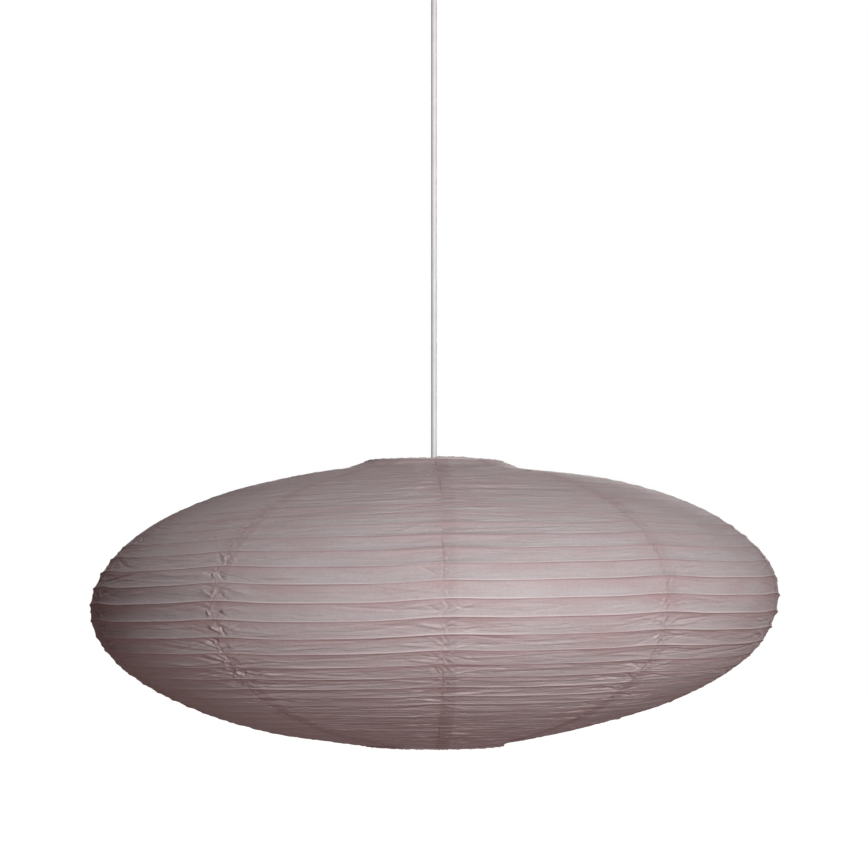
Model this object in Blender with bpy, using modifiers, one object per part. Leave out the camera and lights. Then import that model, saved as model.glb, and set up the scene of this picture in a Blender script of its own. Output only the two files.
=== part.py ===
"""Paper lantern pendant: a flattened paper shade on a spiral rib wire, its wire expander, lamp holder,
lamp, cord and ceiling fitting. Metres, +Z up, the origin on the ceiling under the middle of the plate."""

import math

import bmesh
import bpy

# The paper shade. Its own frame has the widest point of the shade at z = 0.
EQUATOR_Z = -0.71
SHADE_RADIUS = 0.35
SHADE_HALF_HEIGHT = 0.1452
PAPER_THICKNESS = 0.0003
GORE_COUNT = 10
GORE_TURN = math.radians(1.5)  # how far the first seam stands round from the front
GORE_GAP = 0.0003
GORE_EDGE_RADIUS = 0.0722
GORE_COLUMNS = 4
GORE_ROWS = 18

# Wires of the shade.
RING_RADIUS = 0.0705
RING_WIRE = 0.00125
RING_Z = 0.1430
RIB_WIRE = 0.0005
RIB_INSET = 0.0037
RIB_TURNS = 39
RIB_POINTS_PER_TURN = 18
RIB_EDGE_RADIUS = 0.0790

# The expander: a centre ring, two arms and two legs of one wire gauge.
EXPANDER_WIRE = 0.00125
CLAMP_Z = RING_Z - 0.050
CLAMP_RING_RADIUS = 0.0215
ARM_INNER = 0.0233
LEG_RADIUS = 0.0650
LEG_TIP_RADIUS = 0.0708
LEG_TIP_DROP = 0.0030
LEG_BEND = 0.0025
JOINT_GAP = 0.0003
EDGE_ROUNDING = 0.0008

# Cord and ceiling fitting.
CORD_RADIUS = 0.0030
CORE_RADIUS = 0.0010
BOOT_RADIUS = 0.0050
PIVOT_Z = -0.0725
CORD_END_Z = CLAMP_Z + 0.0300
PLATE_RADIUS = 0.042
PLATE_THICKNESS = 0.0020
PLATE_SCREW_X = 0.030
PLATE_HOLE_RADIUS = 0.0025
BLOCK_SIZE = (0.026, 0.016, 0.016)
BLOCK_Y = 0.012
TERMINAL_X = 0.007
TERMINAL_RADIUS = 0.0018
TERMINAL_LENGTH = 0.0030

# How finely round things are divided.
ROUND_STEPS = 32
SMALL_ROUND_STEPS = 16
RING_POINTS = 48
SCREW_MERGE = 0.00001

WHITE_PLASTIC = ("white_plastic", (0.86, 0.86, 0.84), 0.35, 0.0)
CORD_PVC = ("cord_pvc", (0.80, 0.80, 0.79), 0.45, 0.0)
GREY_RUBBER = ("grey_rubber", (0.70, 0.70, 0.69), 0.60, 0.0)
STEEL = ("zinc_steel", (0.62, 0.62, 0.60), 0.40, 1.0)
RIB_STEEL = ("rib_steel", (0.50, 0.45, 0.43), 0.50, 1.0)
BRASS = ("brass", (0.72, 0.55, 0.28), 0.35, 1.0)
CERAMIC = ("holder_insert", (0.82, 0.80, 0.76), 0.55, 0.0)
OPAL = ("opal_dome", (0.90, 0.90, 0.88), 0.30, 0.0)
NICKEL = ("nickel_cap", (0.70, 0.69, 0.66), 0.30, 1.0)
CORE_BROWN = ("core_brown", (0.25, 0.13, 0.07), 0.45, 0.0)
CORE_BLUE = ("core_blue", (0.10, 0.20, 0.50), 0.45, 0.0)
PAPER = ("rose_paper", (0.50, 0.38, 0.38), 0.90, 0.0)


def clear_scene():
    for obj in list(bpy.data.objects):
        bpy.data.objects.remove(obj, do_unlink=True)


def new_collection(name):
    collection = bpy.data.collections.new(name)
    bpy.context.scene.collection.children.link(collection)
    return collection


def material(spec):
    name, colour, roughness, metallic = spec
    found = bpy.data.materials.get(name)
    if found:
        return found
    made = bpy.data.materials.new(name)
    made.use_nodes = True
    shader = made.node_tree.nodes["Principled BSDF"]
    shader.inputs["Base Color"].default_value = (*colour, 1.0)
    shader.inputs["Roughness"].default_value = roughness
    shader.inputs["Metallic"].default_value = metallic
    return made


def empty(name, parent, z):
    made = bpy.data.objects.new(name, None)
    made.location = (0.0, 0.0, z)
    made.parent = parent
    parts.objects.link(made)
    return made


def add(name, data, spec, parent, location=(0.0, 0.0, 0.0)):
    data.materials.append(material(spec))
    obj = bpy.data.objects.new(name, data)
    obj.location = location
    obj.parent = parent
    parts.objects.link(obj)
    return obj


def turned(name, profile, spec, parent, location=(0.0, 0.0, 0.0), steps=ROUND_STEPS):
    """A body turned about Z from (radius, height) points, listed down its outer side."""
    mesh = bpy.data.meshes.new(name)
    ring = [(radius, 0.0, height) for radius, height in profile]
    edges = [(i, i + 1) for i in range(len(ring) - 1)]
    if profile[0][0] > 0.0:
        edges.append((len(ring) - 1, 0))
    mesh.from_pydata(ring, edges, [])
    obj = add(name, mesh, spec, parent, location)
    screw = obj.modifiers.new("turn", "SCREW")
    screw.axis = "Z"
    screw.angle = 2.0 * math.pi
    screw.steps = steps
    screw.render_steps = steps
    screw.use_merge_vertices = True
    screw.merge_threshold = SCREW_MERGE
    screw.use_smooth_shade = True
    return obj


def tube(name, points, radius, spec, parent, closed=False, resolution=2):
    """A round wire along a list of points."""
    curve = bpy.data.curves.new(name, "CURVE")
    curve.dimensions = "3D"
    curve.bevel_depth = radius
    curve.bevel_resolution = resolution
    curve.use_fill_caps = not closed
    spline = curve.splines.new("POLY")
    spline.points.add(len(points) - 1)
    for target, point in zip(spline.points, points):
        target.co = (*point, 1.0)
    spline.use_cyclic_u = closed
    return add(name, curve, spec, parent)


def box(name, size, spec, parent, location):
    mesh = bpy.data.meshes.new(name)
    solid = bmesh.new()
    bmesh.ops.create_cube(solid, size=1.0)
    bmesh.ops.scale(solid, vec=size, verts=solid.verts)
    solid.to_mesh(mesh)
    solid.free()
    obj = add(name, mesh, spec, parent, location)
    bevel = obj.modifiers.new("edges", "BEVEL")
    bevel.width = EDGE_ROUNDING
    bevel.segments = 2
    return obj


def cylinder(name, radius, length, spec, parent, location, rotation=(0.0, 0.0, 0.0)):
    mesh = bpy.data.meshes.new(name)
    solid = bmesh.new()
    bmesh.ops.create_cone(
        solid, cap_ends=True, segments=SMALL_ROUND_STEPS, radius1=radius, radius2=radius, depth=length
    )
    solid.to_mesh(mesh)
    solid.free()
    obj = add(name, mesh, spec, parent, location)
    obj.rotation_euler = rotation
    return obj


def drill(target, radius, x):
    """A vertical hole through the target, cut by a cylinder kept with the cutters."""
    mesh = bpy.data.meshes.new("cutter")
    solid = bmesh.new()
    bmesh.ops.create_cone(
        solid, cap_ends=True, segments=SMALL_ROUND_STEPS, radius1=radius, radius2=radius, depth=0.02
    )
    solid.to_mesh(mesh)
    solid.free()
    cutter = bpy.data.objects.new("hole_cutter", mesh)
    cutter.location = (x, 0.0, 0.0)
    cutter.hide_render = True
    cutter.display_type = "WIRE"
    cutters.objects.link(cutter)
    cut = target.modifiers.new("hole", "BOOLEAN")
    cut.operation = "DIFFERENCE"
    cut.solver = "EXACT"
    cut.object = cutter


def mounting_plate(root):
    profile = [(0.0, 0.0), (PLATE_RADIUS, 0.0), (PLATE_RADIUS, -PLATE_THICKNESS), (0.0, -PLATE_THICKNESS)]
    plate = turned("mounting_plate", profile, STEEL, root)
    for x in (-PLATE_SCREW_X, PLATE_SCREW_X):
        drill(plate, PLATE_HOLE_RADIUS, x)


def plate_screws(root):
    profile = [
        (0.0, -0.0003), (0.0020, -0.0003), (0.0020, -0.0023), (0.0042, -0.0023),
        (0.0040, -0.0040), (0.0025, -0.0048), (0.0, -0.0048),
    ]
    for side, x in (("left", -PLATE_SCREW_X), ("right", PLATE_SCREW_X)):
        turned("plate_screw_" + side, profile, STEEL, root, (x, 0.0, 0.0), SMALL_ROUND_STEPS)


def terminal_block(root):
    depth = BLOCK_SIZE[2]
    top = -PLATE_THICKNESS - JOINT_GAP
    box("terminal_block", BLOCK_SIZE, WHITE_PLASTIC, root, (0.0, BLOCK_Y, top - depth / 2))
    y = BLOCK_Y - BLOCK_SIZE[1] / 2 - JOINT_GAP - TERMINAL_LENGTH / 2
    for side, x in (("live", -TERMINAL_X), ("neutral", TERMINAL_X)):
        place = (x, y, top - depth / 2)
        facing = (math.pi / 2, 0.0, 0.0)
        cylinder("terminal_screw_" + side, TERMINAL_RADIUS, TERMINAL_LENGTH, BRASS, root, place, facing)


def ceiling_cup(root):
    outer = [
        (0.0500, -0.0005), (0.0500, -0.0080), (0.0470, -0.0300),
        (0.0380, -0.0480), (0.0220, -0.0590), (0.0085, -0.0620),
    ]
    inner = [
        (0.0085, -0.0600), (0.0212, -0.0570), (0.0365, -0.0465),
        (0.0450, -0.0295), (0.0480, -0.0080), (0.0480, -0.0005),
    ]
    turned("ceiling_cup", outer + inner, WHITE_PLASTIC, root)


def cord_grip(root):
    bush = [
        (0.0080, -0.0520), (0.0080, -0.0624), (0.0105, -0.0624),
        (0.0105, -0.0668), (0.0033, -0.0668), (0.0033, -0.0520),
    ]
    turned("cord_grip", bush, WHITE_PLASTIC, root, steps=24)
    nut = [(0.0120, -0.0545), (0.0120, -0.0585), (0.0083, -0.0585), (0.0083, -0.0545)]
    turned("cord_grip_nut", nut, WHITE_PLASTIC, root, steps=24)


def cup_cord(root):
    """The end of the cord that bends over to the terminal block inside the cup."""
    points = [
        (0.0, 0.0120, -0.0190), (0.0, 0.0118, -0.0250), (0.0, 0.0098, -0.0320), (0.0, 0.0060, -0.0385),
        (0.0, 0.0024, -0.0440), (0.0, 0.0004, -0.0495), (0.0, 0.0, -0.0545), (0.0, 0.0, -0.0600),
        (0.0, 0.0, -0.0666),
    ]
    tube("cup_cord", points, CORD_RADIUS, CORD_PVC, root, resolution=3)


def cord_boot(pivot):
    mesh = bpy.data.meshes.new("cord_boot")
    ball = bmesh.new()
    bmesh.ops.create_uvsphere(ball, u_segments=SMALL_ROUND_STEPS, v_segments=10, radius=BOOT_RADIUS)
    ball.to_mesh(mesh)
    ball.free()
    mesh.shade_smooth()
    add("cord_boot", mesh, GREY_RUBBER, pivot)


def pendant_cord(shade):
    """The taut cord from under the boot to inside the lamp holder's cap."""
    top = PIVOT_Z - BOOT_RADIUS - 0.0004 - EQUATOR_Z
    steps = 30
    points = [(0.0, 0.0, top + (CORD_END_Z - top) * i / steps) for i in range(steps + 1)]
    tube("pendant_cord", points, CORD_RADIUS, CORD_PVC, shade, resolution=3)


def lampholder(shade):
    at = (0.0, 0.0, CLAMP_Z)
    gland = [(0.0062, 0.0450), (0.0062, 0.0383), (0.0033, 0.0383), (0.0033, 0.0450)]
    turned("cord_gland", gland, WHITE_PLASTIC, shade, at, 24)
    cylinder(
        "gland_screw", 0.0014, 0.0030, WHITE_PLASTIC, shade,
        (0.0, -0.0081, CLAMP_Z + 0.0415), (math.pi / 2, 0.0, 0.0),
    )
    cap = [
        (0.0065, 0.0380), (0.0075, 0.0345), (0.0150, 0.0312), (0.0205, 0.0240), (0.0222, 0.0120),
        (0.0225, 0.0018), (0.0205, 0.0018), (0.0202, 0.0120), (0.0187, 0.0225), (0.0140, 0.0290),
        (0.0036, 0.0320), (0.0036, 0.0380),
    ]
    turned("lampholder_cap", cap, WHITE_PLASTIC, shade, at)
    skirt = [
        (0.0194, 0.0150), (0.0194, -0.0340), (0.0168, -0.0340), (0.0168, 0.0020), (0.0150, 0.0020),
        (0.0150, 0.0050), (0.0168, 0.0050), (0.0168, 0.0150),
    ]
    turned("lampholder_body", skirt, WHITE_PLASTIC, shade, at)
    insert = [
        (0.0, 0.0120), (0.0164, 0.0120), (0.0164, 0.0053),
        (0.0145, 0.0053), (0.0145, 0.0020), (0.0, 0.0020),
    ]
    turned("lampholder_insert", insert, CERAMIC, shade, at, 24)
    shell = [
        (0.0146, 0.0015), (0.0146, -0.0260), (0.0138, -0.0260),
        (0.0138, 0.0007), (0.0060, 0.0007), (0.0060, 0.0015),
    ]
    turned("socket_shell", shell, BRASS, shade, at)
    contact = [(0.0, 0.0016), (0.0040, 0.0016), (0.0040, -0.0012), (0.0, -0.0012)]
    turned("socket_contact", contact, BRASS, shade, at, SMALL_ROUND_STEPS)


def holder_cores(shade):
    """The cord's two insulated cores, from its cut end down to the holder's insert."""
    top = CORD_END_Z - JOINT_GAP
    bottom = CLAMP_Z + 0.0120 + JOINT_GAP
    for side, sign, spec in (("live", -1, CORE_BROWN), ("neutral", 1, CORE_BLUE)):
        points = []
        for i in range(7):
            share = i / 6
            x = sign * (0.0013 + 0.0080 * (1.0 - math.cos(math.pi * share)) / 2)
            points.append((x, 0.0, top + (bottom - top) * share))
        tube("holder_core_" + side, points, CORE_RADIUS, spec, shade)


def shade_nut(shade):
    nut = [(0.0290, -0.0018), (0.0290, -0.0050), (0.0265, -0.0140), (0.0198, -0.0140), (0.0198, -0.0018)]
    turned("shade_nut", nut, WHITE_PLASTIC, shade, (0.0, 0.0, CLAMP_Z))


def lamp(shade):
    at = (0.0, 0.0, CLAMP_Z)
    contact = [(0.0, -0.0018), (0.0045, -0.0018), (0.0045, -0.0036), (0.0, -0.0036)]
    turned("lamp_contact", contact, NICKEL, shade, at, SMALL_ROUND_STEPS)
    cap = [(0.0, -0.0040), (0.0080, -0.0040), (0.0132, -0.0075), (0.0132, -0.0270), (0.0, -0.0270)]
    turned("lamp_cap", cap, NICKEL, shade, at)
    housing = [(0.0, -0.0273), (0.0140, -0.0273), (0.0158, -0.0345), (0.0295, -0.0600), (0.0, -0.0600)]
    turned("lamp_housing", housing, WHITE_PLASTIC, shade, at)
    dome = [
        (0.0, -0.0603), (0.0292, -0.0603), (0.0300, -0.0690), (0.0290, -0.0800),
        (0.0240, -0.0940), (0.0150, -0.1040), (0.0060, -0.1085), (0.0, -0.1095),
    ]
    turned("lamp_dome", dome, OPAL, shade, at)


def ring_points(radius, z, count):
    turn = 2.0 * math.pi / count
    return [(radius * math.cos(turn * i), radius * math.sin(turn * i), z) for i in range(count)]


def wire_rings(shade):
    tube("top_ring", ring_points(RING_RADIUS, RING_Z, RING_POINTS), RING_WIRE, STEEL, shade, True)
    lower = empty("bottom_ring_slide", shade, -RING_Z)
    tube("bottom_ring", ring_points(RING_RADIUS, 0.0, RING_POINTS), RING_WIRE, STEEL, lower, True)


def leg_points(sign):
    """A leg with a bent foot at each end that reaches under the top ring and over the bottom one."""
    foot = RING_Z - LEG_TIP_DROP
    bend = []
    for i in range(5):
        angle = math.pi / 2 * i / 4
        x = LEG_RADIUS + LEG_BEND * (1.0 - math.sin(angle))
        z = foot - LEG_BEND * (1.0 - math.cos(angle))
        bend.append((sign * x, 0.0, z))
    upper = [(sign * LEG_TIP_RADIUS, 0.0, foot)] + bend
    lower = [(x, y, -z) for x, y, z in reversed(upper)]
    middle = [(sign * LEG_RADIUS, 0.0, z) for z in (0.05, -0.05)]
    return upper + middle + lower


def expander(shade):
    ring = ring_points(CLAMP_RING_RADIUS, CLAMP_Z, 32)
    tube("expander_ring", ring, EXPANDER_WIRE, STEEL, shade, True)
    outer = LEG_RADIUS - EXPANDER_WIRE - JOINT_GAP
    for side, sign in (("left", -1), ("right", 1)):
        arm = [(sign * x, 0.0, CLAMP_Z) for x in (ARM_INNER, (ARM_INNER + outer) / 2, outer)]
        tube("expander_arm_" + side, arm, EXPANDER_WIRE, STEEL, shade)
        tube("expander_leg_" + side, leg_points(sign), EXPANDER_WIRE, STEEL, shade)


def shade_point(angle, turn, inset=0.0):
    """A point of the shade: angle from the top pole down the side, turn round Z, and depth inside."""
    radius = (SHADE_RADIUS - inset) * math.sin(angle)
    height = (SHADE_HALF_HEIGHT - inset) * math.cos(angle)
    return (radius * math.cos(turn), radius * math.sin(turn), height)


def paper_gores(shade):
    first = math.asin(GORE_EDGE_RADIUS / SHADE_RADIUS)
    step = 2.0 * math.pi / GORE_COUNT
    for number in range(GORE_COUNT):
        middle = -math.pi / 2 + GORE_TURN + step * (number + 0.5)
        mesh = bpy.data.meshes.new("gore")
        sheet = bmesh.new()
        bmesh.ops.create_grid(sheet, x_segments=GORE_COLUMNS, y_segments=GORE_ROWS, size=1.0)
        for vert in sheet.verts:
            across, down = vert.co.x, (1.0 - vert.co.y) / 2
            angle = first + (math.pi - 2.0 * first) * down
            half = step / 2 - GORE_GAP / 2 / (SHADE_RADIUS * math.sin(angle))
            vert.co = shade_point(angle, middle + across * half)
        bmesh.ops.recalc_face_normals(sheet, faces=sheet.faces)
        sheet.to_mesh(mesh)
        sheet.free()
        mesh.shade_smooth()
        gore = add(f"paper_gore_{number + 1:02d}", mesh, PAPER, shade)
        thick = gore.modifiers.new("paper", "SOLIDIFY")
        thick.thickness = PAPER_THICKNESS
        thick.offset = -1.0


def rib_wire(shade):
    """One wire wound inside the paper from the top edge to the bottom one, evenly along the side."""
    first = math.asin(RIB_EDGE_RADIUS / SHADE_RADIUS)
    angles = [first + (math.pi - 2.0 * first) * i / 400 for i in range(401)]
    lengths = [0.0]
    for a, b in zip(angles, angles[1:]):
        ra, _, za = shade_point(a, 0.0)
        rb, _, zb = shade_point(b, 0.0)
        lengths.append(lengths[-1] + math.hypot(rb - ra, zb - za))
    count = RIB_TURNS * RIB_POINTS_PER_TURN
    points = []
    at = 0
    for i in range(count + 1):
        wanted = lengths[-1] * i / count
        while at < len(angles) - 2 and lengths[at + 1] < wanted:
            at += 1
        share = (wanted - lengths[at]) / (lengths[at + 1] - lengths[at])
        angle = angles[at] + (angles[at + 1] - angles[at]) * share
        points.append(shade_point(angle, 2.0 * math.pi * i / RIB_POINTS_PER_TURN, RIB_INSET))
    tube("rib_wire", points, RIB_WIRE, RIB_STEEL, shade, resolution=0)


clear_scene()
parts = new_collection("paper_lantern")
cutters = new_collection("cutters")

ceiling = empty("ceiling_mount", None, 0.0)
mounting_plate(ceiling)
plate_screws(ceiling)
terminal_block(ceiling)
ceiling_cup(ceiling)
cord_grip(ceiling)
cup_cord(ceiling)

swing = empty("swing_pivot", None, PIVOT_Z)
cord_boot(swing)

shade_frame = empty("shade_centre", swing, EQUATOR_Z - PIVOT_Z)
pendant_cord(shade_frame)
lampholder(shade_frame)
holder_cores(shade_frame)
shade_nut(shade_frame)
lamp(shade_frame)
expander(shade_frame)
wire_rings(shade_frame)
rib_wire(shade_frame)
paper_gores(shade_frame)
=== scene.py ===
"""The looks of a paper lantern pendant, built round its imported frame.

The shade's skin is ten paper gores that sag between the turns of a spiral rib wire and crumple at their
glued seams. Every place comes from the frame's boxes; the values below are real sizes in metres."""

import functools
import math

import bmesh
import bpy
import numpy as np
from mathutils import Matrix, Vector


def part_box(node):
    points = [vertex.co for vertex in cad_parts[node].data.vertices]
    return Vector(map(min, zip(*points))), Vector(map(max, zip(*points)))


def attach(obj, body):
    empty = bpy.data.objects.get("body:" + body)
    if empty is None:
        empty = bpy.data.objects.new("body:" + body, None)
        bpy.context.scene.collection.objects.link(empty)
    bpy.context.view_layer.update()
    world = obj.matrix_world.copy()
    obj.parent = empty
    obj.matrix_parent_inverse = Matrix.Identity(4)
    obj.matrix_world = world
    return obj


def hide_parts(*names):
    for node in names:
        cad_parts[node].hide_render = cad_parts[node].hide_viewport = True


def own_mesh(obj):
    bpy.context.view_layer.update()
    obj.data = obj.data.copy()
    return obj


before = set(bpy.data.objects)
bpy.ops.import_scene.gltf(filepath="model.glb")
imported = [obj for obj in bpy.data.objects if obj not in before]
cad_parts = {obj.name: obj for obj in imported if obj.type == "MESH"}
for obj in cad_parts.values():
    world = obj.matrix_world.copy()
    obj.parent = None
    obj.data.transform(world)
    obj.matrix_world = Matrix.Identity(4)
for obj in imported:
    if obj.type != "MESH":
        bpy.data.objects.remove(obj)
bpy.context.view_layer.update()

# --- Places and sizes ---

TAU = 2.0 * math.pi

top_ring_low, top_ring_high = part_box("top_ring")
bottom_ring_low, bottom_ring_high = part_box("bottom_ring")
TOP_RING_Z = (top_ring_low.z + top_ring_high.z) / 2
BOTTOM_RING_Z = (bottom_ring_low.z + bottom_ring_high.z) / 2
CENTRE_Z = (TOP_RING_Z + BOTTOM_RING_Z) / 2
RING_WIRE = 0.00125

GORES = 10
GORE_ANGLE = TAU / GORES
FRONT_SEAM = -math.pi / 2 + math.radians(1.5)
BACK_SEAM = FRONT_SEAM + math.pi
SHADE_RADIUS = 0.35
SHADE_HALF_HEIGHT = 0.1438
EDGE_RADIUS = 0.0722
LEAN = math.tan(math.radians(1.07))  # the shade hangs a little higher at +X
LEAN_FROM_RADIUS = 0.085
LEAN_FULL_RADIUS = 0.18

RIB_TURNS = 39
TURNS_TO_EDGE = RIB_TURNS + 0.35
RIB_RADIUS = 0.0005
ROWS_PER_TURN = 21
GORE_COLUMNS = 104
MARGIN_COLUMNS = 12
OVERLAP = 0.012
LAYER = 0.00015
EDGE_LINE = 0.0012  # width of the shadow beside a glued edge
LOWER_RIM_DROP = 0.0016  # the paper ends lower than its plain curve at the lower ring
SHOULDER_DIP = 0.0020  # the paper dips a little before it climbs over the upper ring
SHOULDER_RISE = 0.0024  # and is then drawn up towards that ring

SAG_AT_EQUATOR = 0.0013
SAG_AT_EDGE = 0.0006
BODY_SWELL = 0.0007  # how far the whole form, paper and ribs, swells and dips

CORD_DIAMETER = 0.006
CORE_RADIUS = 0.0010
SHARP_ANGLE = math.radians(32.0)
CLAMP_Z = TOP_RING_Z - 0.050

CAMERA_DISTANCE = 2.4
FOCAL_WIDTHS = 2.696  # focal length in image widths
VIEW_TILT = math.atan(0.1947 / FOCAL_WIDTHS)  # the camera looks up, so the shade sits low in view
FLOOR_Z = -3.2


# --- The shade's form ---

def smooth(value, low, high):
    share = np.clip((value - low) / (high - low), 0.0, 1.0)
    return share * share * (3.0 - 2.0 * share)


def side_table():
    """Angles down the side of the shade from one opening to the other, and the length run so far."""
    first = math.asin(EDGE_RADIUS / SHADE_RADIUS)
    angles = np.linspace(first, math.pi - first, 4001)
    radii = SHADE_RADIUS * np.sin(angles)
    heights = SHADE_HALF_HEIGHT * np.cos(angles)
    steps = np.hypot(np.diff(radii), np.diff(heights))
    return angles, np.concatenate([[0.0], np.cumsum(steps)])


SIDE_ANGLES, SIDE_LENGTHS = side_table()
PITCH = SIDE_LENGTHS[-1] / TURNS_TO_EDGE


class Waves:
    """A smooth random field over the shade: waves that close round it, seeded."""

    def __init__(self, seed, count, around, down):
        source = np.random.default_rng(seed)
        self.around = source.integers(0, around + 1, count)
        self.down = source.uniform(-down, down, count)
        self.phase = source.uniform(0.0, TAU, count)
        self.share = source.uniform(0.5, 1.0, count)
        self.share /= math.sqrt((self.share**2).sum() / 2)

    def at(self, turn, row):
        total = np.zeros(np.broadcast(turn, row).shape)
        for around, down, phase, share in zip(self.around, self.down, self.phase, self.share):
            total += share * np.cos(around * turn + down * row + phase)
        return total


RIB_WANDER = Waves(11, 14, 7, 0.9)
SAG_CHANGE = Waves(12, 18, 9, 1.3)
FOLD_CHANGE = Waves(14, 16, 12, 1.0)
BODY_FORM = Waves(13, 10, 4, 0.25)


def turn_from_back(angle):
    """Angle round the shade counted from the back seam, growing towards -X, the front and +X."""
    return angle - BACK_SEAM + TAU


def side_length(row, turn):
    """How far down the side a row of the paper lies. Whole rows are the rib wire's turns."""
    held = np.clip(np.minimum(row, (TURNS_TO_EDGE - row) / 1.35), 0.0, 1.0)
    drop = (turn + np.sin(turn)) / TAU
    wander = 0.045 * RIB_WANDER.at(turn, row)
    pulled_up = 0.13 * ((1.0 + np.cos(GORES * (turn - math.pi))) / 2.0) ** 3
    return PITCH * (row + held * (drop + wander - pulled_up))


def side_point(length):
    """Radius, height and outward normal of the plain shade at a length down its side."""
    angle = np.interp(length, SIDE_LENGTHS, SIDE_ANGLES)
    radius = SHADE_RADIUS * np.sin(angle)
    height = SHADE_HALF_HEIGHT * np.cos(angle)
    out = np.sin(angle) / SHADE_RADIUS
    up = np.cos(angle) / SHADE_HALF_HEIGHT
    size = np.hypot(out, up)
    dip = SHOULDER_DIP * (1.0 - smooth(radius, 0.09, 0.25)) * smooth(radius, EDGE_RADIUS, 0.092)
    rise = SHOULDER_RISE * (1.0 - smooth(radius, EDGE_RADIUS, 0.100))
    height = height + (height > 0) * (rise - dip)
    height = height - (height < 0) * LOWER_RIM_DROP * (1.0 - smooth(radius, 0.075, 0.130))
    return radius, height, out / size, up / size


def placed(radius, height, out, up, depth, angle):
    """Points of the shade at a depth along its outward normal; the whole shade leans."""
    wide = radius + depth * out
    x = wide * np.cos(angle)
    lean = x * LEAN * smooth(radius, LEAN_FROM_RADIUS, LEAN_FULL_RADIUS)
    return np.stack([x, wide * np.sin(angle), CENTRE_Z + height + depth * up + lean], axis=-1)


# --- Creases: short straight folds inside one panel, between two turns of the rib wire ---

FOLD_HEIGHT = 1.65
FOLD_WIDTH = 0.70
SEAM_STRENGTH = [0.65, 0.55, 0.9, 0.8, 1.0, 0.7, 0.9, 0.8, 1.1, 1.7]
SEAM_SWING = [0.15, 0.30, 0.6, 0.5, 0.3, 0.6, 0.3, 0.5, 0.6, 1.0]


def seam_turn(seam):
    """The angle from the back seam of the seam at the low edge of gore number seam."""
    return (math.pi + GORE_ANGLE * seam) % TAU


# One fold is (turn, panel, start, share, run, lift, height, width): it starts at so many metres beside the
# turn and at a share of the panel's height, and goes on by run metres and by lift shares.

def seam_creases(source):
    """Small hard folds right at the seams, crossing them as chevrons and lozenges."""
    folds = []
    for seam in range(GORES):
        turn = seam_turn(seam)
        strength = SEAM_STRENGTH[seam]
        for panel in range(RIB_TURNS):
            equator = math.exp(-(((panel - 20.5) / 6.0) ** 2))
            if strength * equator > 0.3:
                way = 1.0 if panel % 2 else -1.0
                reach = (0.0030 + 0.0055 * strength * equator) * (0.5 + 0.5 * SEAM_SWING[seam])
                deep = 0.00040 * strength * equator
                for start, end, share in ((-1.0, 0.6, 0.05), (0.6, -0.9, 0.50)):
                    run = way * (end - start) * reach
                    start *= way * reach
                    folds.append((turn, panel, start, share, run, 0.45, deep, 0.0019))
                    folds.append((turn, panel, start + 0.0028, share + 0.06, run, 0.45, -deep, 0.0016))
            for _ in range(source.poisson(2.0 + 6.0 * strength * equator)):
                side = source.choice([-1.0, 1.0])
                start = side * abs(source.normal(0.0, 0.003))
                length = 0.004 + source.exponential(0.008)
                share = source.uniform(0.15, 0.85)
                lift = source.choice([-1.0, 1.0]) * source.uniform(0.15, 0.60)
                height = source.choice([-1.0, 0.8]) * source.uniform(0.0002, 0.0007)
                height *= 0.35 + 0.9 * strength * equator
                width = source.uniform(0.0007, 0.0017)
                folds.append((turn, panel, start, share, side * length, lift, height, width))
    return folds


def fan_creases(source):
    """Long folds that start where a rib crosses a seam and spread, nearly level, into the panels."""
    folds = []
    for seam in range(GORES):
        turn = seam_turn(seam)
        strength = 0.55 + 0.45 * SEAM_STRENGTH[seam]
        for panel in range(RIB_TURNS):
            lower = 1.0 if panel > 19 else 0.6
            edge = min(1.0, 0.35 + min(panel, RIB_TURNS - panel) / 9.0)
            for side in (-1.0, 1.0):
                for _ in range(source.poisson(4.2 * lower * strength)):
                    start = side * source.exponential(0.004)
                    length = (0.020 + source.exponential(0.038)) * edge
                    share = source.uniform(0.55, 1.0)
                    lift = -source.uniform(0.2, 0.8)
                    if source.random() < 0.25:
                        share, lift = 1.0 - share, -lift
                    height = source.choice([-0.8, 1.0]) * source.uniform(0.00022, 0.00062)
                    width = source.uniform(0.0008, 0.0019)
                    folds.append((turn, panel, start, share, side * length, lift, height, width))
    return folds


def long_creases(source):
    """Long, nearly level folds anywhere round the shade; more of them lie in the lower half."""
    folds = []
    for _ in range(2200):
        panel = int(source.integers(0, RIB_TURNS))
        if panel < 20 and source.random() < 0.3:
            continue
        length = source.uniform(0.015, 0.120)
        share = source.uniform(0.15, 0.85)
        lift = source.uniform(-0.16, 0.16)
        height = source.choice([-0.8, 1.0]) * source.uniform(0.00010, 0.00035)
        turn = source.uniform(0.0, TAU)
        folds.append((turn, panel, 0.0, share, length, lift, height, source.uniform(0.0009, 0.0022)))
    return folds


def loose_creases(source):
    """Small wrinkles and dents anywhere in a gore."""
    folds = []
    for count in range(4800):
        turn = source.uniform(0.0, TAU)
        if count % 3:
            turn = seam_turn(int(source.integers(0, GORES))) + source.normal(0.0, 0.12)
        panel = int(source.integers(0, RIB_TURNS))
        length = source.uniform(0.002, 0.012)
        lift = source.uniform(-0.5, 0.5)
        share = source.uniform(0.2, 0.8)
        height = source.choice([-1.0, 1.0]) * source.uniform(0.00008, 0.00030)
        folds.append((turn, panel, 0.0, share, length, lift, height, source.uniform(0.0007, 0.0016)))
    return folds


draws = np.random.default_rng(2024)
CREASES = seam_creases(draws) + fan_creases(draws) + long_creases(draws) + loose_creases(draws)


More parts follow.
